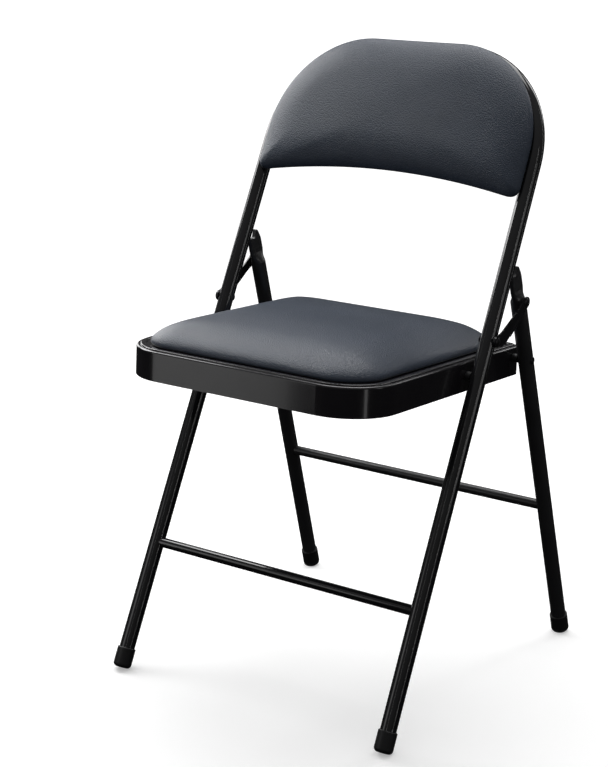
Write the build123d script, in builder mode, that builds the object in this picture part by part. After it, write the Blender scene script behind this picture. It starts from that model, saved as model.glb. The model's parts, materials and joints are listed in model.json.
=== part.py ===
from build123d import *
from math import asin, atan2, cos, degrees, radians, sin, sqrt, tan
import os

# Folding chair, millimetres. +X is the sitter's left, -Y the front, +Z up.
# The origin is on the floor, under the middle of the open chair.

# ---- driving dimensions ----
TUBE_R = 10.0            # main steel tube
TUBE_WALL = 1.0
BAR_R = 6.5              # stretchers between the legs
BAR_WALL = 1.0

FRONT_FOOT_Y = -215.5    # where the front tube's axis meets the floor
REAR_FOOT_Y = 222.7      # where the rear legs' axes meet the floor
FRONT_LEAN = 27.3        # degrees from upright, the top leans back
REAR_LEAN = 15.2         # degrees from upright, the top leans forward
FRONT_HALF = 202.0       # half distance between the front tube's two axes
REAR_HALF_FLOOR = 207.0  # rear legs splay a little towards the floor
REAR_HALF_TOP = 202.4
REAR_TOP_Z = 533.0

ARCH_TOP = 878.0         # axis of the top bar, measured along the leaning frame
ARCH_R = 140.0           # axis radius of the arch's two corners

FRONT_BAR_Z = 152.0
REAR_BAR_Z = 194.0

# pivots: two on the upright, two on the rear leg
SEAT_PIVOT_Z = 410.0
LINK_LOW_Z = 452.0
REAR_PIVOT_Z = 406.3
LINK_HIGH_Z = 487.3
PIN_R = 4.0
RUN = 0.05               # radial clearance of every turning pin
GAP = 0.3                # clearance between parts that pass each other

# seat
SEAT_TILT = 3.9          # degrees, rear edge lower
PAN_W = 371.0
PAN_D = 365.5
PAN_H = 37.0
PAN_T = 1.0
PAN_FRONT_Y = FRONT_FOOT_Y - 14.6
PAN_TOP_Z = 443.0
PAN_FRONT_R = 67.0
PAN_REAR_R = 14.0
RIM = 17.5               # steel rim left bare round the seat pad
PAD_FRONT_R = PAN_FRONT_R - RIM
PAD_REAR_R = 48.0
SEAT_PAD_H = 34.0
SEAT_BOARD_T = 6.0

# back rest
BACK_HALF = 200.0
BACK_TOP = 885.0
BACK_LOW = 686.0
BACK_LOW_MID = 703.0     # the lower edge rises in the middle
BACK_R = 135.0
BACK_BOARD_T = 3.0
BACK_PAD_T = 24.0

# link
LINK_T = 2.0
LINK_X = 213.6           # inner face of the link
LINK_END_R = 7.0

CAP_R = 11.8
CAP_H = 26.0
CAP_FILLET = 5.0
CAP_SINK = 1.0           # how much of the rounded cap is worn flat on the floor

# ---- derived geometry ----
LEAN = radians(FRONT_LEAN)
REAR = radians(REAR_LEAN)
TILT = radians(SEAT_TILT)

# the leaning plane of the front frame: local Y runs up the tube, local Z to the front
FRAME = Plane(origin=(0, FRONT_FOOT_Y, 0), x_dir=(1, 0, 0), z_dir=(0, -cos(LEAN), sin(LEAN)))
# the seat's plane: local Y runs to the rear, local Z up, the origin on the front top edge
SEAT = Plane(origin=(0, PAN_FRONT_Y, PAN_TOP_Z), x_dir=(1, 0, 0), z_dir=(0, sin(TILT), cos(TILT)))


def upright_y(z):
    """Y of the front tube's axis at height z."""
    return FRONT_FOOT_Y + z * tan(LEAN)


def rear_y(z):
    """Y of the rear leg's axis at height z."""
    return REAR_FOOT_Y - z * tan(REAR)


def rear_x(z):
    """Half distance between the rear legs at height z."""
    return REAR_HALF_FLOOR + (REAR_HALF_TOP - REAR_HALF_FLOOR) * z / REAR_TOP_Z


SEAT_PIVOT = (upright_y(SEAT_PIVOT_Z), SEAT_PIVOT_Z)
LINK_LOW = (upright_y(LINK_LOW_Z), LINK_LOW_Z)
REAR_PIVOT = (rear_y(REAR_PIVOT_Z), REAR_PIVOT_Z)
LINK_HIGH = (rear_y(LINK_HIGH_Z), LINK_HIGH_Z)
PAN_HALF = PAN_W / 2
UPRIGHT_IN = FRONT_HALF - TUBE_R
UPRIGHT_OUT = FRONT_HALF + TUBE_R
SIDES = {"left": 1, "right": -1}

os.makedirs("parts", exist_ok=True)


def save(part, name):
    """Label one finished piece and write it as its own STEP file."""
    part.label = name
    export_step(part, f"parts/{name}.step")


def leg_plane(side):
    """Plane at a rear leg's foot, local Z up along the leg, local X outwards."""
    up = Vector(side * (rear_x(REAR_TOP_Z) - rear_x(0)), rear_y(REAR_TOP_Z) - rear_y(0), REAR_TOP_Z)
    across = up.cross(Vector(side, 0, 0)).normalized()
    return Plane(origin=(side * rear_x(0), REAR_FOOT_Y, 0), x_dir=across.cross(up), z_dir=up)


def foot_plane(side):
    """Plane at a front foot, local Z up along the tube."""
    return Plane(origin=(side * FRONT_HALF, FRONT_FOOT_Y, 0), x_dir=(1, 0, 0),
                 z_dir=(0, sin(LEAN), cos(LEAN)))


def cap_base(lean):
    """Distance from the floor point to the cap's rounded end, along the leg."""
    ring = CAP_R - CAP_FILLET
    return (ring * sin(lean) + CAP_FILLET - CAP_SINK) / cos(lean) - CAP_FILLET


FRONT_CAP = cap_base(LEAN)
REAR_CAP = cap_base(REAR)
CAP_FLOOR = 3.0          # plastic under the tube's end


def cross_hole(side, point, x_from, x_to, radius):
    """Cut a round hole along X through the part being built."""
    with BuildSketch(Plane.YZ.offset(side * x_from)) as hole:
        with Locations(point):
            Circle(radius)
    extrude(hole.sketch, amount=side * (x_to - x_from), mode=Mode.SUBTRACT)


def ring(side, point, x_from, x_to, outer):
    """A washer or spacer on a pin, between two values of X."""
    with BuildPart() as piece:
        with BuildSketch(Plane.YZ.offset(side * x_from)):
            with Locations(point):
                Circle(outer)
                Circle(PIN_R, mode=Mode.SUBTRACT)
        extrude(amount=side * (x_to - x_from))
    return piece.part


def rivet(side, point, x_in, x_out, tail, tail_h, head, head_h):
    """A domed rivet along X: upset tail inside, shank, domed head outside."""
    sphere = (head ** 2 + head_h ** 2) / (2 * head_h)
    half_angle = asin(head / sphere) / 2
    dome = (x_out + head_h - sphere + sphere * cos(half_angle), sphere * sin(half_angle))
    with BuildPart() as piece:
        with BuildSketch(Plane((0, point[0], point[1]))):
            with BuildLine():
                Polyline((side * (x_in - tail_h), 0), (side * (x_in - tail_h), tail), (side * x_in, tail),
                         (side * x_in, PIN_R), (side * x_out, PIN_R), (side * x_out, head))
                ThreePointArc((side * x_out, head), (side * dome[0], dome[1]),
                              (side * (x_out + head_h), 0))
                Line((side * (x_out + head_h), 0), (side * (x_in - tail_h), 0))
            make_face()
        revolve(axis=Axis((0, point[0], point[1]), (1, 0, 0)))
    return piece.part


# ---- front frame: one bent tube ----
LEG_REACH = 500.0        # longer than the stretch of leg that a stretcher meets
FRAME_START = FRONT_CAP + CAP_FLOOR
with BuildPart() as front_frame_tube:
    with BuildLine(FRAME) as frame_path:
        FilletPolyline((-FRONT_HALF, FRAME_START), (-FRONT_HALF, ARCH_TOP), (FRONT_HALF, ARCH_TOP),
                       (FRONT_HALF, FRAME_START), radius=ARCH_R)
    with BuildSketch(Plane(origin=frame_path.line @ 0, z_dir=frame_path.line % 0)):
        Circle(TUBE_R)
        Circle(TUBE_R - TUBE_WALL, mode=Mode.SUBTRACT)
    sweep(path=frame_path.line)
    for s in SIDES.values():
        # the seat's pin is set in the inner wall alone
        cross_hole(s, SEAT_PIVOT, FRONT_HALF - 2 * TUBE_R, FRONT_HALF, PIN_R)
        cross_hole(s, LINK_LOW, FRONT_HALF - 2 * TUBE_R, FRONT_HALF + 2 * TUBE_R, PIN_R)
save(front_frame_tube.part, "front_frame_tube")


def bar(y, z, half, legs):
    """A stretcher tube along X with its ends coped to the two legs."""
    with BuildPart() as piece:
        with BuildSketch(Plane.YZ.offset(-half)):
            with Locations((y, z)):
                Circle(BAR_R)
                Circle(BAR_R - BAR_WALL, mode=Mode.SUBTRACT)
        extrude(amount=2 * half)
        for leg in legs:
            with BuildSketch(leg):
                Circle(TUBE_R)
            extrude(amount=LEG_REACH, mode=Mode.SUBTRACT)
    return piece.part


front_feet = [foot_plane(s) for s in SIDES.values()]
rear_feet = [leg_plane(s) for s in SIDES.values()]
save(bar(upright_y(FRONT_BAR_Z), FRONT_BAR_Z, FRONT_HALF, front_feet), "front_stretcher")
save(bar(rear_y(REAR_BAR_Z), REAR_BAR_Z, rear_x(REAR_BAR_Z), rear_feet), "rear_stretcher")


def foot_cap(plane, base):
    """Moulded cap over a tube's end: rounded below, with a small flat on the floor."""
    with BuildPart() as piece:
        with BuildSketch(plane.offset(base)):
            Circle(CAP_R)
        extrude(amount=CAP_H)
        bottom = piece.faces().sort_by(Axis(plane.origin, plane.z_dir))[0]
        top = piece.faces().sort_by(Axis(plane.origin, plane.z_dir))[-1]
        fillet(bottom.edges(), radius=CAP_FILLET)
        chamfer(top.edges(), length=0.8)
        with BuildSketch(plane.offset(base + CAP_FLOOR)):
            Circle(TUBE_R)
        extrude(amount=CAP_H, mode=Mode.SUBTRACT)
        split(bisect_by=Plane.XY, keep=Keep.TOP)
    return piece.part


for name, s in SIDES.items():
    save(foot_cap(foot_plane(s), FRONT_CAP), f"front_foot_cap_{name}")
    save(foot_cap(leg_plane(s), REAR_CAP), f"rear_foot_cap_{name}")


# ---- rear legs: round tubes, pressed flat above the upper pivot ----
FLAT_W = 26.0            # width of the flattened end, in the side plane
FLAT_T = 6.0
FLAT_START = 505.0       # along the leg
FLAT_BLEND = 15.0
FLAT_END = 566.0
EDGE_SPARE = 0.5         # room between the tip's outline and the leg's own edges
# the tip's beak as (Y, Z): from the shoulder behind the upright up to the point, and down the rear edge
SHOULDER_Z = 521.3
BEAK = [(77.5, SHOULDER_Z), (80.6, 525.0), (81.8, 529.8), (83.6, REAR_TOP_Z), (86.8, 530.2), (91.2, 523.5),
        (95.2, 515.5)]
BEAK_END_Z = 505.0


def rear_leg(side):
    """One rear leg with its pressed tip cut to lie along the back of the upright."""
    base = leg_plane(side)
    with BuildPart() as leg:
        with BuildSketch(base.offset(REAR_CAP + CAP_FLOOR)):
            Circle(TUBE_R)
        extrude(amount=FLAT_START - REAR_CAP - CAP_FLOOR)
        with BuildSketch(base.offset(FLAT_START)):
            Circle(TUBE_R)
        with BuildSketch(base.offset(FLAT_START + FLAT_BLEND)):
            SlotOverall(FLAT_W, FLAT_T, rotation=90)
        loft()
        with BuildSketch(base.offset(FLAT_START + FLAT_BLEND)):
            SlotOverall(FLAT_W, FLAT_T, rotation=90)
        extrude(amount=FLAT_END - FLAT_START - FLAT_BLEND)
        # the tube is hollow up to the flattened end
        with BuildSketch(base.offset(REAR_CAP + CAP_FLOOR)):
            Circle(TUBE_R - TUBE_WALL)
        extrude(amount=FLAT_START - 2 * TUBE_WALL - REAR_CAP - CAP_FLOOR, mode=Mode.SUBTRACT)
        # side outline: a square shoulder behind the upright, and the beak above it
        with BuildSketch(Plane.YZ.offset(side * (FRONT_HALF - 3 * TUBE_R))) as outline:
            with BuildLine():
                half = (FLAT_W / 2 + EDGE_SPARE) / cos(REAR)
                beak_end = (rear_y(BEAK_END_Z) + half, BEAK_END_Z)
                Polyline(beak_end, (rear_y(0) + half, 0), (rear_y(0) - half, 0),
                         (rear_y(SHOULDER_Z) - half, SHOULDER_Z), BEAK[0])
                Spline(*BEAK, beak_end)
            make_face()
        extrude(outline.sketch, amount=side * 6 * TUBE_R, mode=Mode.INTERSECT)
        pivot_x = rear_x(REAR_PIVOT_Z)
        cross_hole(side, REAR_PIVOT, pivot_x - 2 * TUBE_R, pivot_x + 2 * TUBE_R, PIN_R)
    return leg.part


for name, s in SIDES.items():
    save(rear_leg(s), f"rear_leg_{name}")


# ---- links: pressed strips outside the uprights and the rear legs ----
LINK_ANGLE = degrees(atan2(LINK_HIGH[1] - LINK_LOW[1], LINK_HIGH[0] - LINK_LOW[0]))
LINK_L = sqrt((LINK_HIGH[0] - LINK_LOW[0]) ** 2 + (LINK_HIGH[1] - LINK_LOW[1]) ** 2)
# upper and lower edge of the strip: along the link from the lower eye, and across it
UPPER_EDGE = [(3, LINK_END_R - 0.8), (16, 4.0), (60, 4.0), (LINK_L, LINK_END_R)]
LOWER_EDGE = [(LINK_L, -LINK_END_R), (66, -7.5), (32, -12.0), (18, -14.0), (5, -12.0), (0, -LINK_END_R)]
RIB_FROM = (26, -11.6)   # ends of the pressed rib on the lower edge
RIB_TO = (66, -6.4)
RIB_W = 1.6
RIB_H = 1.5


def link(side):
    """One pressed strip: an eye at each end, a wide lower ear and a rib on the lower edge."""
    turned = Location((LINK_LOW[0], LINK_LOW[1], 0), (0, 0, LINK_ANGLE))
    rib_run = (RIB_TO[0] - RIB_FROM[0], RIB_TO[1] - RIB_FROM[1])
    rib_turn = degrees(atan2(rib_run[1], rib_run[0]))
    rib_middle = ((RIB_FROM[0] + RIB_TO[0]) / 2, (RIB_FROM[1] + RIB_TO[1]) / 2)
    with BuildPart() as strip:
        with BuildSketch(Plane.YZ.offset(side * LINK_X)):
            with Locations(turned):
                Circle(LINK_END_R)
                with Locations((LINK_L, 0)):
                    Circle(LINK_END_R)
                Polygon(*UPPER_EDGE, *LOWER_EDGE, (0, 0), align=None)
        extrude(amount=side * LINK_T)
        with BuildSketch(Plane.YZ.offset(side * (LINK_X + LINK_T))):
            with Locations(turned):
                with Locations(rib_middle):
                    SlotOverall(sqrt(rib_run[0] ** 2 + rib_run[1] ** 2), RIB_W, rotation=rib_turn)
        extrude(amount=side * RIB_H)
        cross_hole(side, LINK_LOW, LINK_X - GAP, LINK_X + LINK_T + RIB_H, PIN_R + RUN)
        cross_hole(side, LINK_HIGH, LINK_X - GAP, LINK_X + LINK_T + RIB_H, PIN_R)
    return strip.part


SPLAY_SLACK = 0.15       # the splayed leg's surface is a little off square to its pin
REAR_PIN_IN = rear_x(REAR_PIVOT_Z) - TUBE_R - SPLAY_SLACK
REAR_PIN_OUT = rear_x(REAR_PIVOT_Z) + TUBE_R + SPLAY_SLACK
LINK_PIN_IN = rear_x(LINK_HIGH_Z) + TUBE_R + GAP
PLATE_T = 2.0
PLATE_IN = PAN_HALF - PAN_T - PLATE_T

SPACER_R = 5.5
WASHER_R = 7.0
TAIL = {"tail": 6.0, "tail_h": 2.0}          # radius and height of an upset tail
BLIND_X = FRONT_HALF - 7.0                   # where the seat's pin is flared, inside the upright

for name, s in SIDES.items():
    save(link(s), f"link_{name}")
    # turning pins held by the upright or the rear leg, with a spacer beside the seat
    seat_pin = rivet(s, SEAT_PIVOT, PLATE_IN - GAP, BLIND_X, **TAIL, head=5.4, head_h=1.6)
    save(seat_pin, f"seat_pivot_rivet_{name}")
    save(ring(s, SEAT_PIVOT, PAN_HALF + GAP, UPRIGHT_IN, SPACER_R), f"seat_pivot_spacer_{name}")
    rear_pin = rivet(s, REAR_PIVOT, PLATE_IN - GAP, REAR_PIN_OUT, **TAIL, head=4.8, head_h=1.4)
    save(rear_pin, f"rear_pivot_rivet_{name}")
    save(ring(s, REAR_PIVOT, PAN_HALF + GAP, REAR_PIN_IN, SPACER_R), f"rear_pivot_spacer_{name}")
    link_pin = rivet(s, LINK_LOW, UPRIGHT_IN, LINK_X + LINK_T + GAP, 4.6, 0.9, head=5.2, head_h=1.6)
    save(link_pin, f"link_lower_rivet_{name}")
    save(ring(s, LINK_LOW, UPRIGHT_OUT, LINK_X - GAP, WASHER_R), f"link_lower_washer_{name}")
    # the upper link rivet is set in the link and ends just outside the leg
    top_pin = rivet(s, LINK_HIGH, LINK_X, LINK_X + LINK_T, 6.0, LINK_X - LINK_PIN_IN, head=5.2, head_h=1.8)
    save(top_pin, f"link_upper_rivet_{name}")


# ---- seat ----
BEAD_IN = 12.0
BEAD_OUT = 5.0
BEAD_H = 1.8
FLANGE = 9.0             # width of the hem turned in under the wall
PAN_EDGE_R = 2.5
BEAD_EDGE_R = 1.2
LEAST_R = 4.0


def seat_outline(inset, front_r, rear_r):
    """Rounded outline in the seat's plane, drawn in from the pan's edge."""
    with BuildSketch(mode=Mode.PRIVATE) as outline:
        with Locations((0, PAN_D / 2)):
            Rectangle(PAN_W - 2 * inset, PAN_D - 2 * inset)
        fillet(outline.vertices().group_by(Axis.Y)[0], radius=front_r)
        fillet(outline.vertices().group_by(Axis.Y)[-1], radius=rear_r)
    return outline.sketch


def pan_outline(inset):
    """The pan's outline, its corners concentric with the edge."""
    return seat_outline(inset, PAN_FRONT_R - inset, max(PAN_REAR_R - inset, LEAST_R))


def pad_outline(inset):
    """The seat pad's outline, drawn in from the cover."""
    return seat_outline(RIM + inset, PAD_FRONT_R - inset, PAD_REAR_R - inset)


def seat_local(point):
    """A side-plane point (Y, Z) in the seat's plane: distance back, height."""
    dy = point[0] - PAN_FRONT_Y
    dz = point[1] - PAN_TOP_Z
    return (dy * cos(TILT) - dz * sin(TILT), dy * sin(TILT) + dz * cos(TILT))


SCREW_SPOTS = [(x, y) for x in (-110, 110) for y in (80, 290)]
SCREW_R = 2.5
SCREW_HEAD_H = 2.2
SCREW_EDGE_R = 1.2
HOLE_DEPTH = 4.0         # deeper than any sheet that a screw passes

with BuildPart() as seat_pan:
    with BuildSketch(SEAT):
        add(pan_outline(0))
    extrude(amount=-PAN_H)
    upper_rim = seat_pan.faces().sort_by(Axis(SEAT.origin, SEAT.z_dir))[-1].edges()
    fillet(upper_rim, radius=PAN_EDGE_R)
    with BuildSketch(SEAT.offset(-PAN_T)):
        add(pan_outline(PAN_T))
    extrude(amount=-PAN_H, mode=Mode.SUBTRACT)
    # hem turned in along the wall's lower edge
    with BuildSketch(SEAT.offset(-PAN_H)):
        add(pan_outline(PAN_T))
        add(pan_outline(FLANGE), mode=Mode.SUBTRACT)
    extrude(amount=PAN_T)
    # raised bead round the bare rim
    with BuildSketch(SEAT.offset(-PAN_T / 2)):
        add(pan_outline(BEAD_OUT))
        add(pan_outline(BEAD_IN), mode=Mode.SUBTRACT)
    extrude(amount=PAN_T / 2 + BEAD_H)
    crest = seat_pan.faces().sort_by(Axis(SEAT.origin, SEAT.z_dir))[-1].edges()
    fillet(crest, radius=BEAD_EDGE_R)
    with BuildSketch(SEAT):
        with Locations(*SCREW_SPOTS):
            Circle(SCREW_R)
    extrude(amount=-HOLE_DEPTH, mode=Mode.SUBTRACT)
    for s in SIDES.values():
        cross_hole(s, SEAT_PIVOT, PLATE_IN, PAN_HALF + GAP, PIN_R + RUN)
        cross_hole(s, REAR_PIVOT, PLATE_IN, PAN_HALF + GAP, PIN_R + RUN)
save(seat_pan.part, "seat_pan")

# stiffening plates inside the pan's side walls, between the two pivots
PLATE_H = 24.0
PLATE_R = 7.0
PLATE_ENDS = 23.0        # how much longer the plate is than the pivots are apart
front_hole = seat_local(SEAT_PIVOT)
rear_hole = seat_local(REAR_PIVOT)
plate_middle = (front_hole[0] + rear_hole[0]) / 2 - 4
plate_length = rear_hole[0] - front_hole[0] + PLATE_ENDS
for name, s in SIDES.items():
    inner_face = Plane(origin=(s * PLATE_IN, PAN_FRONT_Y, PAN_TOP_Z), x_dir=(0, cos(TILT), -sin(TILT)),
                       z_dir=(1, 0, 0))
    with BuildPart() as pivot_plate:
        with BuildSketch(inner_face):
            with Locations((plate_middle, -PAN_H / 2 + PAN_T)):
                RectangleRounded(plate_length, PLATE_H, PLATE_R)
        extrude(amount=s * PLATE_T)
        cross_hole(s, SEAT_PIVOT, PLATE_IN, PAN_HALF, PIN_R + RUN)
        cross_hole(s, REAR_PIVOT, PLATE_IN, PAN_HALF, PIN_R + RUN)
    save(pivot_plate.part, f"pivot_plate_{name}")

WRAP = 4.0               # the cover is this much wider than its board all round
COVER_SIDE = 2.0         # thickness of the cover and the padding pulled tight at its sides
COVER_T = 1.0
SCREW_SKIN = 1.0         # board left over a screw's end
SEAT_EDGE_R = 19.0       # rounded upper edges of the covers
BACK_EDGE_R = 10.0
FOAM_SHY = 1.0           # how much smaller the foam's edge radius is

with BuildPart() as seat_board:
    with BuildSketch(SEAT):
        add(pad_outline(WRAP))
    extrude(amount=SEAT_BOARD_T)
    with BuildSketch(SEAT):
        with Locations(*SCREW_SPOTS):
            Circle(SCREW_R)
    extrude(amount=SEAT_BOARD_T - SCREW_SKIN, mode=Mode.SUBTRACT)
save(seat_board.part, "seat_board")

with BuildPart() as seat_foam:
    with BuildSketch(SEAT.offset(SEAT_BOARD_T)):
        add(pad_outline(COVER_SIDE))
    extrude(amount=SEAT_PAD_H - SEAT_BOARD_T - COVER_T)
    foam_top = seat_foam.faces().sort_by(Axis(SEAT.origin, SEAT.z_dir))[-1].edges()
    fillet(foam_top, radius=SEAT_EDGE_R - FOAM_SHY)
save(seat_foam.part, "seat_foam")

with BuildPart() as seat_cover:
    with BuildSketch(SEAT):
        add(pad_outline(0))
    extrude(amount=SEAT_PAD_H)
    cover_top = seat_cover.faces().sort_by(Axis(SEAT.origin, SEAT.z_dir))[-1].edges()
    fillet(cover_top, radius=SEAT_EDGE_R)
    add(seat_foam.part, mode=Mode.SUBTRACT)
    with BuildSketch(SEAT):
        add(pad_outline(WRAP))
    extrude(amount=SEAT_BOARD_T, mode=Mode.SUBTRACT)
save(seat_cover.part, "seat_cover")


def screws(under, spots, length):
    """Pan head screws that rise from the plane given, their heads below it."""
    with BuildPart() as group:
        with BuildSketch(under):
            with Locations(*spots):
                Circle(SCREW_R)
        extrude(amount=length)
        with BuildSketch(under):
            with Locations(*spots):
                Circle(2 * SCREW_R)
        extrude(amount=-SCREW_HEAD_H)
        heads = group.faces().group_by(Axis(under.origin, under.z_dir))[0]
        fillet(heads.edges(), radius=SCREW_EDGE_R)
    return group.part


save(screws(SEAT.offset(-PAN_T), SCREW_SPOTS, PAN_T + SEAT_BOARD_T - SCREW_SKIN), "seat_screws")


# ---- back rest ----
LOW_R = 12.0             # the back rest's two lower corners


def back_outline(inset):
    """Arched outline of the back rest, with a lower edge that rises in the middle."""
    half = BACK_HALF - inset
    top = BACK_TOP - inset
    low = BACK_LOW + inset
    radius = BACK_R - inset
    with BuildSketch(mode=Mode.PRIVATE) as outline:
        with BuildLine():
            Line((-half, low), (-half, top - radius))
            RadiusArc((-half, top - radius), (radius - half, top), radius)
            Line((radius - half, top), (half - radius, top))
            RadiusArc((half - radius, top), (half, top - radius), radius)
            Line((half, top - radius), (half, low))
            ThreePointArc((half, low), (0, BACK_LOW_MID + inset), (-half, low))
        make_face()
        fillet(outline.vertices().group_by(Axis.Y)[0], radius=LOW_R - inset / 2)
    return outline.sketch


SIDE_LUGS = (712, 752)   # places of the lugs on the uprights, along the frame
TOP_LUGS = (-45, 45)     # places of the lugs under the top bar, across the frame
LUG_W = 20.0
LUG_T = 2.0
LUG_FROM = 170.0         # inner end of a side lug
LUG_TO = FRONT_HALF - 4  # where it is welded to the tube
LUG_MID = (LUG_FROM + LUG_TO) / 2
LUG_HOLE = 180.0
ARCH_RISE = ARCH_TOP - FRONT_HALF   # what carries the side lugs' places over to the top bar
SIDE_SPOTS = [(s * LUG_MID, y) for s in SIDES.values() for y in SIDE_LUGS]
TOP_SPOTS = [(x, ARCH_RISE + LUG_MID) for x in TOP_LUGS]
HOLES = [(s * LUG_HOLE, y) for s in SIDES.values() for y in SIDE_LUGS]
HOLES += [(x, ARCH_RISE + LUG_HOLE) for x in TOP_LUGS]
LUG_BACK = FRAME.offset(TUBE_R - LUG_T)
BOARD_BACK = FRAME.offset(TUBE_R)

with BuildPart() as back_lugs:
    with BuildSketch(LUG_BACK):
        with Locations(*SIDE_SPOTS):
            Rectangle(LUG_TO - LUG_FROM, LUG_W)
        with Locations(*TOP_SPOTS):
            Rectangle(LUG_W, LUG_TO - LUG_FROM)
        with Locations(*HOLES):
            Circle(SCREW_R, mode=Mode.SUBTRACT)
    extrude(amount=LUG_T)
    with BuildSketch(Plane(origin=frame_path.line @ 0, z_dir=frame_path.line % 0)):
        Circle(TUBE_R)
    sweep(path=frame_path.line, mode=Mode.SUBTRACT)
save(back_lugs.part, "back_lugs")

with BuildPart() as back_board:
    with BuildSketch(BOARD_BACK):
        add(back_outline(WRAP))
    extrude(amount=BACK_BOARD_T)
    with BuildSketch(BOARD_BACK):
        with Locations(*HOLES):
            Circle(SCREW_R)
    extrude(amount=BACK_BOARD_T - SCREW_SKIN, mode=Mode.SUBTRACT)
save(back_board.part, "back_board")

with BuildPart() as back_foam:
    with BuildSketch(FRAME.offset(TUBE_R + BACK_BOARD_T)):
        add(back_outline(COVER_SIDE))
    extrude(amount=BACK_PAD_T - COVER_T)
    foam_front = back_foam.faces().sort_by(Axis(FRAME.origin, FRAME.z_dir))[-1].edges()
    fillet(foam_front, radius=BACK_EDGE_R - FOAM_SHY)
save(back_foam.part, "back_foam")

with BuildPart() as back_cover:
    with BuildSketch(FRAME.offset(TUBE_R + GAP)):
        add(back_outline(0))
    extrude(amount=BACK_BOARD_T + BACK_PAD_T - GAP)
    cover_front = back_cover.faces().sort_by(Axis(FRAME.origin, FRAME.z_dir))[-1].edges()
    fillet(cover_front, radius=BACK_EDGE_R)
    add(back_foam.part, mode=Mode.SUBTRACT)
    with BuildSketch(BOARD_BACK):
        add(back_outline(WRAP))
    extrude(amount=BACK_BOARD_T, mode=Mode.SUBTRACT)
save(back_cover.part, "back_cover")

save(screws(LUG_BACK, HOLES, LUG_T + BACK_BOARD_T - SCREW_SKIN), "back_screws")
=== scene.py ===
"""Folding chair: the looks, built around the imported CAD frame. Metres, +Z up, -Y the front."""

import json
import math

import bpy
import numpy as np
from mathutils import Matrix, Vector


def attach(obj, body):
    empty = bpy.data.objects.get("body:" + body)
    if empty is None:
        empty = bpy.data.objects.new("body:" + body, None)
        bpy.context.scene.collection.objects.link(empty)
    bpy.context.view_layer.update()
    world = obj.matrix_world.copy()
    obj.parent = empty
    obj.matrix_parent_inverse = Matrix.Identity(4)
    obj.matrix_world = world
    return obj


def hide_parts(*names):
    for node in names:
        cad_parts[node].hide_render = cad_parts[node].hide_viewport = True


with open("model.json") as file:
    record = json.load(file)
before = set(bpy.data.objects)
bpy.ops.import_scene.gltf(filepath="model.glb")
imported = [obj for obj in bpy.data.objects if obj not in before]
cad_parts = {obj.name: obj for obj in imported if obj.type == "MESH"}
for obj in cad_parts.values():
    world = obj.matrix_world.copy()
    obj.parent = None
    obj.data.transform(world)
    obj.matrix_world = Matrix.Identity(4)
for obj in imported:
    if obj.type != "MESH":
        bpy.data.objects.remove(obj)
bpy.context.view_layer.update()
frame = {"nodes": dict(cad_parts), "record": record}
MM = 0.001

# ---- driving values ----
WRAP = 4 * MM                 # a cover is this much wider than its board all round
SEAT_FRONT_R = 49.5 * MM      # corner radii of the seat pad
SEAT_REAR_R = 48 * MM
BACK_TOP_R = 135 * MM         # corner radii of the back rest
BACK_LOW_R = 12 * MM
BACK_RISE = 17 * MM           # how much the back rest's lower edge rises in its middle
CELLS = 44                    # quads across half a pad
EDGE_EASE = 0.55              # how much the quads crowd towards a pad's edge
SIM_FRAMES = 20
PRESSURE = 1.2                # of the foam under a cover
SWELL_CAP = 2 * MM            # no point of a cover moves further
EVEN_ROUNDS = 60              # how often the swelling is evened out between neighbours
FLOOR_NEAR = 0.35, 0.5        # the floor's own light under the chair, out to this many metres
FLOOR_FAR = 0.96, 4.5         # and from this far on, where it meets the backdrop
BACKDROP = 1.1                # light of the plain backdrop
ROOM_LOW = 0.03               # light of the room below and above the horizon
ROOM_HIGH = 0.55
ROOM_SHINE = 0.35             # how much of it the glossy pieces see

# a pad's wall: inset from its widest outline, and height over the board's rear plane, rear edge first
SEAT_WALL = [(4.0, 0.2), (1.6, 0.9), (0.4, 2.2), (0.0, 3.8)]
BACK_WALL = [(4.0, 0.4), (1.4, 0.6), (0.3, 1.8), (0.0, 3.6)]
# above the wall: width and height of the rounded shoulder, its roundness, and the crown's height
SEAT_DOME = (58, 19.0, 1.8, 16.0)
BACK_DOME = (48, 13.5, 1.9, 6.5)


# ---- places, worked out from the frame ----
def board_frame(node, toward):
    """(matrix, half width, length) of a board: local Y along it, local Z out of its pad side.

    The matrix's origin is on the board's rear plane, in the middle of its front or lower edge.
    """
    mesh = frame["nodes"][node].data
    face = max((p for p in mesh.polygons if p.normal.dot(toward) > 0.8), key=lambda p: p.area)
    normal = face.normal.copy()
    normal.x = 0
    normal.normalize()
    along = normal.cross(Vector((1, 0, 0)))
    axes = Matrix((Vector((1, 0, 0)), along, normal)).transposed()
    local = np.array([v.co for v in mesh.vertices]) @ np.array(axes)
    low, high = local.min(0), local.max(0)
    origin = axes @ Vector((0, low[1], low[2]))
    return Matrix.Translation(origin) @ axes.to_4x4(), high[0], high[1] - low[1]


# ---- outlines ----
def arc(centre, radius, start, end, steps=14):
    """Points on an arc, angles in degrees."""
    turn = np.radians(np.linspace(start, end, steps))
    return np.stack([centre[0] + radius * np.cos(turn), centre[1] + radius * np.sin(turn)], 1)


def seat_outline(half, length):
    """Anticlockwise outline of the seat pad: a rectangle with wider corners at the front."""
    rear = half - SEAT_REAR_R, length - SEAT_REAR_R
    front = half - SEAT_FRONT_R, SEAT_FRONT_R
    return np.concatenate([
        arc((rear[0], rear[1]), SEAT_REAR_R, 0, 90),
        arc((-rear[0], rear[1]), SEAT_REAR_R, 90, 180),
        arc((-front[0], front[1]), SEAT_FRONT_R, 180, 270),
        arc((front[0], front[1]), SEAT_FRONT_R, 270, 360),
    ])


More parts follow.
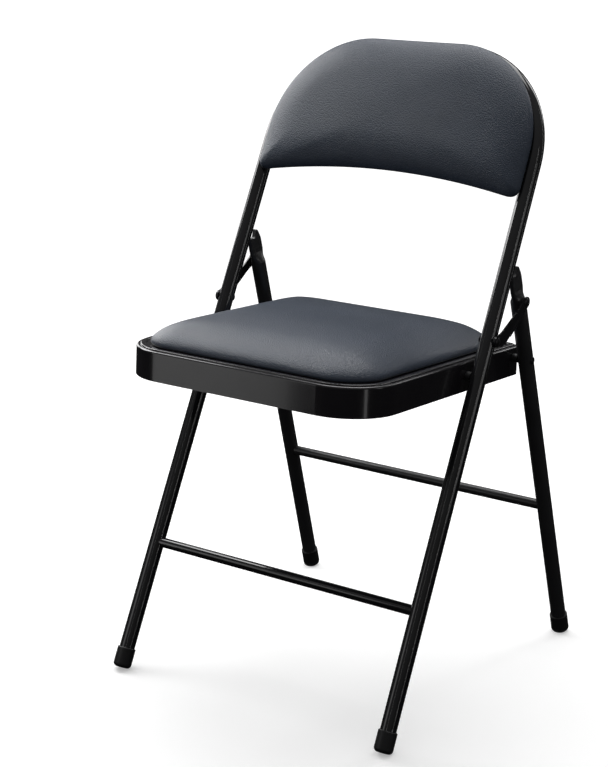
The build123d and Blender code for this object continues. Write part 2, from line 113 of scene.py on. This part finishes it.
def back_outline(half, length):
    """Anticlockwise outline of the back rest: an arch whose lower edge rises in the middle."""
    top = half - BACK_TOP_R, length - BACK_TOP_R
    low = half - BACK_LOW_R
    span = np.linspace(-1, 1, 40)
    edge = np.stack([span * low, BACK_RISE * (1 - span ** 2)], 1)
    slope = math.degrees(math.atan2(2 * BACK_RISE, low))
    return np.concatenate([
        arc((top[0], top[1]), BACK_TOP_R, 0, 90, 30),
        arc((-top[0], top[1]), BACK_TOP_R, 90, 180, 30),
        arc((-low, BACK_LOW_R), BACK_LOW_R, 180, 270 + slope),
        edge[1:-1],
        arc((low, BACK_LOW_R), BACK_LOW_R, 270 - slope, 360),
    ])


def even_loop(points, count=720):
    """The same closed outline as evenly spaced points, with its outward normals."""
    loop = np.vstack([points, points[:1]])
    run = np.r_[0, np.cumsum(np.linalg.norm(np.diff(loop, axis=0), axis=1))]
    even = np.linspace(0, run[-1], count, endpoint=False)
    spots = np.stack([np.interp(even, run, loop[:, k]) for k in (0, 1)], 1)
    ahead = np.roll(spots, -3, 0) - np.roll(spots, 3, 0)
    ahead /= np.linalg.norm(ahead, axis=1)[:, None]
    return spots, np.stack([ahead[:, 1], -ahead[:, 0]], 1)


def inset_of(points, loop):
    """Distance of each point in from the outline."""
    ends = np.roll(loop, -1, 0) - loop
    to = points[:, None, :] - loop[None, :, :]
    share = np.clip((to * ends).sum(2) / (ends ** 2).sum(1), 0, 1)
    return np.linalg.norm(to - share[:, :, None] * ends, axis=2).min(1)


# ---- pads ----
def pad(name, place, outline, side, dome):
    """A crowned, closed pad of quads, from its outline, its wall and its dome in millimetres."""
    side = [(inset * MM, height * MM) for inset, height in side]
    width, shoulder, roundness, crown = dome
    loop, normals = even_loop(outline)
    centre = (loop.min(0) + loop.max(0)) / 2
    widest, wall = side[-1]
    step = np.linspace(-1, 1, 2 * CELLS + 1)
    step = EDGE_EASE * np.sin(step * math.pi / 2) + (1 - EDGE_EASE) * step
    u, v = np.meshgrid(step, step, indexing="ij")
    across, up = u * np.sqrt(1 - v ** 2 / 2), v * np.sqrt(1 - u ** 2 / 2)
    share = np.hypot(across, up).ravel()
    share /= share.max()
    angle = np.arctan2(up, across).ravel()
    bearings = np.arctan2(*(loop - centre).T[::-1])
    order = np.argsort(bearings)
    spots, outward = [
        np.stack([np.interp(angle, bearings[order], table[order, k], period=2 * math.pi) for k in (0, 1)], 1)
        for table in (loop, normals)]
    rim = spots - widest * outward
    flat = centre + (rim - centre) * share[:, None]
    inset = np.where(share < 1, inset_of(flat, loop - widest * normals), 0) / (width * MM)
    climb = (1 - (1 - np.clip(inset, 0, 1)) ** roundness) ** (1 / roundness)
    height = wall + shoulder * MM * climb + crown * MM * (1 - share ** 2.6)
    size = len(step)
    index = np.arange(size * size).reshape(size, size)
    ring = np.concatenate([index[:-1, 0], index[-1, :-1], index[:0:-1, -1], index[0, :0:-1]])
    verts = [np.column_stack([flat, height])]
    faces = [(index[i, j], index[i + 1, j], index[i + 1, j + 1], index[i, j + 1])
             for i in range(size - 1) for j in range(size - 1)]
    above = ring
    total = size * size
    for inward, level in side[-2::-1]:
        verts.append(np.column_stack([spots[ring] - inward * outward[ring], np.full(len(ring), level)]))
        below = total + np.arange(len(ring))
        total += len(ring)
        faces += [(above[k], above[k - 1], below[k - 1], below[k]) for k in range(len(ring))]
        above = below
    under = np.full(size * size, -1)
    under[ring] = above
    inner = np.flatnonzero(under < 0)
    under[inner] = total + np.arange(len(inner))
    tucked = spots - side[0][0] * outward
    tucked = centre + (tucked - centre) * share[:, None]
    verts.append(np.column_stack([tucked[inner], np.full(len(inner), side[0][1])]))
    faces += [(under[index[i, j]], under[index[i, j + 1]], under[index[i + 1, j + 1]], under[index[i + 1, j]])
              for i in range(size - 1) for j in range(size - 1)]
    local = np.concatenate(verts)
    mesh = bpy.data.meshes.new(name)
    spot = local @ np.array(place.to_3x3()).T + np.array(place.translation)
    mesh.from_pydata(spot.tolist(), [], [tuple(int(i) for i in f) for f in faces])
    mesh.polygons.foreach_set("use_smooth", [True] * len(mesh.polygons))
    obj = bpy.data.objects.new(name, mesh)
    bpy.context.scene.collection.objects.link(obj)
    free = np.clip((local[:, 2] - side[1][1]) / (side[-1][1] - side[1][1]), 0, 1)
    hold = obj.vertex_groups.new(name="hold")
    for k, weight in enumerate(free):
        hold.add([k], 1 - float(weight), "REPLACE")
    return obj


def swell(obj):
    """Puff the pad up as cloth on foam, held at its rear edge.

    Each point keeps only its outward share of the movement, capped and evened out with its neighbours'.
    """
    scene = bpy.context.scene
    points = obj.data.vertices
    rest = np.array([v.co for v in points])
    normals = np.array([v.normal for v in points])
    free = 1 - np.array([v.groups[0].weight for v in points])
    cloth = obj.modifiers.new("Cloth", "CLOTH")
    cloth.settings.quality = 6
    cloth.settings.mass = 0.25
    cloth.settings.tension_stiffness = 30
    cloth.settings.compression_stiffness = 30
    cloth.settings.shear_stiffness = 12
    cloth.settings.bending_stiffness = 40
    cloth.settings.use_pressure = True
    cloth.settings.uniform_pressure_force = PRESSURE
    cloth.settings.effector_weights.gravity = 0
    cloth.settings.vertex_group_mass = "hold"
    cloth.point_cache.frame_start = 1
    cloth.point_cache.frame_end = SIM_FRAMES
    for number in range(1, SIM_FRAMES + 1):
        scene.frame_set(number)
    graph = bpy.context.evaluated_depsgraph_get()
    puffed = np.array([v.co for v in obj.evaluated_get(graph).data.vertices])
    obj.modifiers.remove(cloth)
    scene.frame_set(1)
    outward = ((puffed - rest) * normals).sum(1)
    print(obj.name, "swelled by", round(float(outward.min()) / MM, 2), "to",
          round(float(outward.max()) / MM, 2), "mm, mean", round(float(outward.mean()) / MM, 2))
    outward = np.clip(outward, 0, SWELL_CAP)
    one, other = np.array([edge.vertices for edge in obj.data.edges]).T
    count = np.bincount(one, minlength=len(rest)) + np.bincount(other, minlength=len(rest))
    for _ in range(EVEN_ROUNDS):
        around = np.bincount(one, outward[other], len(rest)) + np.bincount(other, outward[one], len(rest))
        outward = around / count
    obj.data.vertices.foreach_set("co", (rest + (free * outward)[:, None] * normals).ravel())
    obj.data.update()


# ---- materials ----
def shader(name, **values):
    """A new material with a Principled shader, and the numbers that are the same all over it."""
    made = bpy.data.materials.new(name)
    made.use_nodes = True
    surface = made.node_tree.nodes["Principled BSDF"]
    for socket, value in values.items():
        surface.inputs[socket.replace("_", " ")].default_value = value
    return made, surface


def add_node(made, kind, **values):
    """A node of a material, with its settings and its unlinked sockets set."""
    node = made.node_tree.nodes.new(kind)
    for key, value in values.items():
        if hasattr(node, key):
            setattr(node, key, value)
        else:
            node.inputs[key].default_value = value
    return node


def link(made, source, socket, target, into):
    made.node_tree.links.new(source.outputs[socket], target.inputs[into])


def noise(made, scale, detail=3.0, rough=0.5, stretch=None):
    """Noise in the object's own metres, stretched along an axis if asked."""
    spot = add_node(made, "ShaderNodeTexCoord")
    out = add_node(made, "ShaderNodeTexNoise", Scale=scale, Detail=detail, Roughness=rough)
    if stretch is None:
        link(made, spot, "Object", out, "Vector")
    else:
        turn = add_node(made, "ShaderNodeMapping", Scale=stretch)
        link(made, spot, "Object", turn, "Vector")
        link(made, turn, "Vector", out, "Vector")
    return out


def spread(made, source, socket, low, high, start=0.3, end=0.7):
    """A number from low to high as the source goes from start to end."""
    out = add_node(made, "ShaderNodeMapRange")
    out.inputs["From Min"].default_value = start
    out.inputs["From Max"].default_value = end
    out.inputs["To Min"].default_value = low
    out.inputs["To Max"].default_value = high
    link(made, source, socket, out, "Value")
    return out


def tint(made, surface, source, socket, colours):
    """Base colour that runs through the given (place, colour) stops."""
    ramp = add_node(made, "ShaderNodeValToRGB")
    stops = ramp.color_ramp.elements
    while len(stops) < len(colours):
        stops.new(0.5)
    for stop, (place, colour) in zip(stops, colours):
        stop.position = place
        stop.color = (*colour, 1)
    link(made, source, socket, ramp, "Fac")
    link(made, ramp, "Color", surface, "Base Color")


def relief(made, surface, layers):
    """Stack bumps, coarse first: each is (node, socket, depth in metres, strength)."""
    before = None
    for source, socket, depth, strength in layers:
        bump = add_node(made, "ShaderNodeBump", Distance=depth, Strength=strength)
        link(made, source, socket, bump, "Height")
        if before:
            link(made, before, "Normal", bump, "Normal")
        before = bump
    link(made, before, "Normal", surface, "Normal")


def enamel(name, dark, light, rough, coat, peel):
    """Stove enamel on steel: near black, with orange peel, cloudy gloss and a few rubbed marks."""
    made, surface = shader(name, IOR=1.5, Coat_Weight=coat, Coat_Roughness=0.06)
    cloud = noise(made, 14, 4)
    tint(made, surface, cloud, "Fac", [(0.3, dark), (0.75, light)])
    rub = noise(made, 60, 6, 0.7, (1, 1, 0.25))
    dull = spread(made, rub, "Fac", rough, rough + 0.08, 0.48, 0.72)
    link(made, dull, "Result", surface, "Roughness")
    skin = noise(made, peel, 2)
    dust = noise(made, 2600, 2)
    relief(made, surface, [(skin, "Fac", 0.00005, 0.2), (dust, "Fac", 0.00002, 0.2)])
    return made


def leatherette():
    """Grained vinyl: pebbles a millimetre wide, a soft sheen, and slight clouds of colour and gloss."""
    made, surface = shader("leatherette", IOR=1.46, Sheen_Weight=0.06, Sheen_Roughness=0.4,
                           Coat_Weight=0.08, Coat_Roughness=0.3)
    cloud = noise(made, 9, 5, 0.6)
    tint(made, surface, cloud, "Fac", [(0.3, (0.024, 0.034, 0.054)), (0.7, (0.032, 0.044, 0.068))])
    spot = add_node(made, "ShaderNodeTexCoord")
    warp = noise(made, 420, 2)
    mix = add_node(made, "ShaderNodeVectorMath", operation="MULTIPLY_ADD")
    mix.inputs[1].default_value = (0.0012, 0.0012, 0.0012)
    link(made, warp, "Color", mix, 0)
    link(made, spot, "Object", mix, 2)
    pebble = add_node(made, "ShaderNodeTexVoronoi", feature="SMOOTH_F1", Scale=720, Smoothness=0.45)
    link(made, mix, "Vector", pebble, "Vector")
    valley = spread(made, pebble, "Distance", 1.0, 0.0, 0.15, 0.75)
    gloss = spread(made, cloud, "Fac", 0.34, 0.43)
    link(made, gloss, "Result", surface, "Roughness")
    swellings = noise(made, 55, 3)
    relief(made, surface, [(swellings, "Fac", 0.0004, 0.35), (valley, "Result", 0.0004, 0.8)])
    return made


def plastic(name, colour, scuffed):
    """Moulded plastic with a fine spark-eroded skin, paler where it rubs on the floor."""
    made, surface = shader(name, IOR=1.47)
    spot = add_node(made, "ShaderNodeTexCoord")
    parts = add_node(made, "ShaderNodeSeparateXYZ")
    link(made, spot, "Object", parts, "Vector")
    low = spread(made, parts, "Z", 1.0, 0.0, 0.0, 0.012)
    marks = noise(made, 240, 5, 0.7)
    both = add_node(made, "ShaderNodeMath", operation="MULTIPLY")
    link(made, low, "Result", both, 0)
    link(made, marks, "Fac", both, 1)
    pale = tuple(c + scuffed for c in colour)
    tint(made, surface, both, "Value", [(0.25, colour), (0.7, pale)])
    gloss = spread(made, marks, "Fac", 0.36, 0.55)
    link(made, gloss, "Result", surface, "Roughness")
    grain = noise(made, 1500, 2)
    relief(made, surface, [(marks, "Fac", 0.0001, 0.2), (grain, "Fac", 0.00004, 0.4)])
    return made


def metal(name, dark, light, rough, metallic):
    """Plated or blackened steel, mottled, with fine turning marks."""
    made, surface = shader(name, Metallic=metallic)
    mottle = noise(made, 380, 5, 0.65)
    tint(made, surface, mottle, "Fac", [(0.3, dark), (0.7, light)])
    gloss = spread(made, mottle, "Fac", rough, rough + 0.16)
    link(made, gloss, "Result", surface, "Roughness")
    lines = noise(made, 2200, 2, 0.5, (1, 1, 0.2))
    relief(made, surface, [(lines, "Fac", 0.00003, 0.5)])
    return made


def hardboard():
    """Dark hardboard: pressed fibres on a fine screen pattern."""
    made, surface = shader("hardboard", IOR=1.4)
    fibre = noise(made, 160, 8, 0.75, (1, 1, 0.5))
    tint(made, surface, fibre, "Fac", [(0.3, (0.018, 0.015, 0.013)), (0.7, (0.042, 0.034, 0.028))])
    gloss = spread(made, fibre, "Fac", 0.55, 0.8)
    link(made, gloss, "Result", surface, "Roughness")
    spot = add_node(made, "ShaderNodeTexCoord")
    rows = [add_node(made, "ShaderNodeTexWave", bands_direction=way, Scale=130, Distortion=0.6)
            for way in ("X", "Z")]
    for row in rows:
        link(made, spot, "Object", row, "Vector")
    screen = add_node(made, "ShaderNodeMath", operation="MINIMUM")
    link(made, rows[0], "Fac", screen, 0)
    link(made, rows[1], "Fac", screen, 1)
    relief(made, surface, [(screen, "Value", 0.00025, 0.5), (fibre, "Fac", 0.0003, 0.4)])
    return made


vinyl = leatherette()
finishes = {
    "frame_paint": enamel("frame_enamel", (0.005, 0.005, 0.006), (0.009, 0.009, 0.010), 0.10, 0.4, 330),
    "leg_paint": enamel("leg_enamel", (0.014, 0.014, 0.015), (0.021, 0.021, 0.023), 0.32, 0.15, 260),
    "pan_paint": enamel("pan_enamel", (0.009, 0.008, 0.010), (0.014, 0.013, 0.015), 0.16, 0.5, 300),
    "leatherette": vinyl,
    "hardboard": hardboard(),
    "foot_plastic": plastic("foot_plastic", (0.010, 0.010, 0.011), 0.05),
    "spacer_plastic": plastic("spacer_nylon", (0.016, 0.016, 0.017), 0.0),
    "zinc_steel": metal("zinc_plate", (0.36, 0.36, 0.33), (0.55, 0.54, 0.48), 0.28, 1.0),
    "rivet_steel": metal("blackened_steel", (0.018, 0.018, 0.020), (0.035, 0.035, 0.038), 0.24, 0.6),
}
for row in frame["record"]["subparts"]:
    if row["material_slot"] in finishes:
        data = frame["nodes"][row["node"]].data
        data.materials.clear()
        data.materials.append(finishes[row["material_slot"]])

# ---- the seat pad and the back rest ----
place, half, length = board_frame("seat_board", Vector((0, 0, 1)))
seat_pad = pad("seat_pad", place @ Matrix.Translation((0, -WRAP, 0)),
               seat_outline(half + WRAP, length + 2 * WRAP), SEAT_WALL, SEAT_DOME)
place, half, length = board_frame("back_board", Vector((0, -1, 0.5)))
back_pad = pad("back_pad", place @ Matrix.Translation((0, -WRAP, 0)),
               back_outline(half + WRAP, length + 2 * WRAP), BACK_WALL, BACK_DOME)
swell(seat_pad)
swell(back_pad)
for piece in (seat_pad, back_pad):
    piece.data.materials.append(vinyl)
    smooth = piece.modifiers.new("Subdivision", "SUBSURF")
    smooth.levels = 1
    smooth.render_levels = 1
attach(seat_pad, "seat")
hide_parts("seat_cover", "seat_foam")
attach(back_pad, "front_frame")
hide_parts("back_cover", "back_foam")

# ---- floor, light and camera ----
bpy.ops.mesh.primitive_plane_add(size=60)
floor = bpy.context.object
floor.name = "floor"
floor.visible_glossy = False
floor.visible_diffuse = False
ground, surface = shader("pale_floor", Roughness=0.9, Specular_IOR_Level=0.05, Emission_Color=(1, 1, 1, 1))
tint(ground, surface, noise(ground, 3, 3), "Fac", [(0.3, (0.78, 0.78, 0.78)), (0.7, (0.80, 0.80, 0.80))])
spot = add_node(ground, "ShaderNodeTexCoord")
away = add_node(ground, "ShaderNodeVectorMath", operation="LENGTH")
link(ground, spot, "Object", away, 0)
glow = spread(ground, away, "Value", FLOOR_NEAR[0], FLOOR_FAR[0], FLOOR_NEAR[1], FLOOR_FAR[1])
link(ground, glow, "Result", surface, "Emission Strength")
floor.data.materials.append(ground)
floor.visible_shadow = False        # two of the lamps reach below it

world = bpy.data.worlds.new("studio")
bpy.context.scene.world = world
world.use_nodes = True
sky = world.node_tree.nodes["Background"]
sky.inputs["Color"].default_value = (1, 1, 1, 1)
sky.inputs["Strength"].default_value = BACKDROP
spot = add_node(world, "ShaderNodeTexCoord")
parts = add_node(world, "ShaderNodeSeparateXYZ")
link(world, spot, "Generated", parts, "Vector")
room = add_node(world, "ShaderNodeBackground", Color=(1, 1, 1, 1))
rise = spread(world, parts, "Z", ROOM_LOW, ROOM_HIGH, -0.2, 0.9)
path = add_node(world, "ShaderNodeLightPath")
shine = spread(world, path, "Is Glossy Ray", 1.0, ROOM_SHINE, 0, 1)
level = add_node(world, "ShaderNodeMath", operation="MULTIPLY")
link(world, rise, "Result", level, 0)
link(world, shine, "Result", level, 1)
link(world, level, "Value", room, "Strength")
pick = add_node(world, "ShaderNodeMixShader")
link(world, path, "Is Camera Ray", pick, "Fac")
link(world, room, "Background", pick, 1)
link(world, sky, "Background", pick, 2)
link(world, pick, "Shader", world.node_tree.nodes["World Output"], "Surface")

LAMP_AIM = Vector((0, 0, 0.45))
CAMERA_TURN = 35.468           # degrees round the object, from straight in front
CAMERA_RISE = 12.444
CAMERA_ROLL = -0.208
CAMERA_AWAY = 2.2979
CAMERA_AIM = Vector((-0.03703, -0.0337, 0.53475))
CAMERA_LENS = 85.35
CAMERA_SHIFT = -0.1636


def direction(turn, rise):
    """Unit vector from the object towards a place round it."""
    turn, rise = math.radians(turn), math.radians(rise)
    return Vector((math.sin(turn) * math.cos(rise), -math.cos(turn) * math.cos(rise), math.sin(rise)))


def softbox(name, turn, rise, away, width, height, power, only=None):
    """A rectangular lamp that looks at the chair from round it; turn counts from the camera.

    only is a collection: the lamp then lights nothing else.
    """
    lamp = bpy.data.lights.new(name, "AREA")
    lamp.shape = "RECTANGLE"
    lamp.size = width
    lamp.size_y = height
    lamp.energy = power
    obj = bpy.data.objects.new(name, lamp)
    bpy.context.scene.collection.objects.link(obj)
    back = direction(CAMERA_TURN + turn, rise)
    obj.location = LAMP_AIM + back * away
    obj.rotation_euler = back.to_track_quat("Z", "Y").to_euler()
    if only:
        obj.light_linking.receiver_collection = only


tubes = bpy.data.collections.new("tubes")
pan = bpy.data.collections.new("pan")
pan.objects.link(frame["nodes"]["seat_pan"])
for node in ("front_frame_tube", "front_stretcher", "rear_stretcher", "rear_leg_left", "rear_leg_right",
             "link_left", "link_right"):
    tubes.objects.link(frame["nodes"][node])
# name, turn, rise, distance, width, height, watts, and what it lights if not everything
softbox("overhead", 170, 68, 1.9, 1.5, 1.5, 26)
softbox("left_window", -126, 36, 1.5, 0.6, 0.9, 11)
softbox("left_rear", -150, 18, 2.0, 0.9, 1.3, 9)
softbox("rear_right", 128, 30, 2.2, 0.4, 1.4, 6)
softbox("left_card", -71, 4, 1.8, 0.7, 0.7, 1.2)
softbox("right_card", 58, 8, 1.8, 0.35, 0.8, 0.8)
softbox("line_1", -74, 10, 2.4, 0.06, 2.2, 0.5, tubes)
softbox("line_2", -28, 8, 2.5, 0.04, 2.2, 0.9, tubes)
softbox("line_3", 47, 12, 2.4, 0.05, 2.2, 2.0, tubes)
softbox("line_4", 100, 14, 2.2, 0.05, 2.2, 1.0, tubes)
softbox("pan_1", -72, -14, 1.8, 0.5, 0.5, 0.6, pan)
softbox("pan_2", 30, -14, 1.8, 0.16, 0.8, 0.4, pan)

camera = bpy.data.cameras.new("camera")
camera.lens = CAMERA_LENS
camera.sensor_width = 36.0
camera.shift_y = CAMERA_SHIFT
eye = bpy.data.objects.new("camera", camera)
bpy.context.scene.collection.objects.link(eye)
back = direction(CAMERA_TURN, CAMERA_RISE)
eye.location = CAMERA_AIM + back * CAMERA_AWAY
roll = Matrix.Rotation(math.radians(CAMERA_ROLL), 4, "Z")
eye.rotation_euler = (back.to_track_quat("Z", "Y").to_matrix().to_4x4() @ roll).to_euler()
bpy.context.scene.camera = eye
bpy.context.scene.view_settings.view_transform = "Standard"
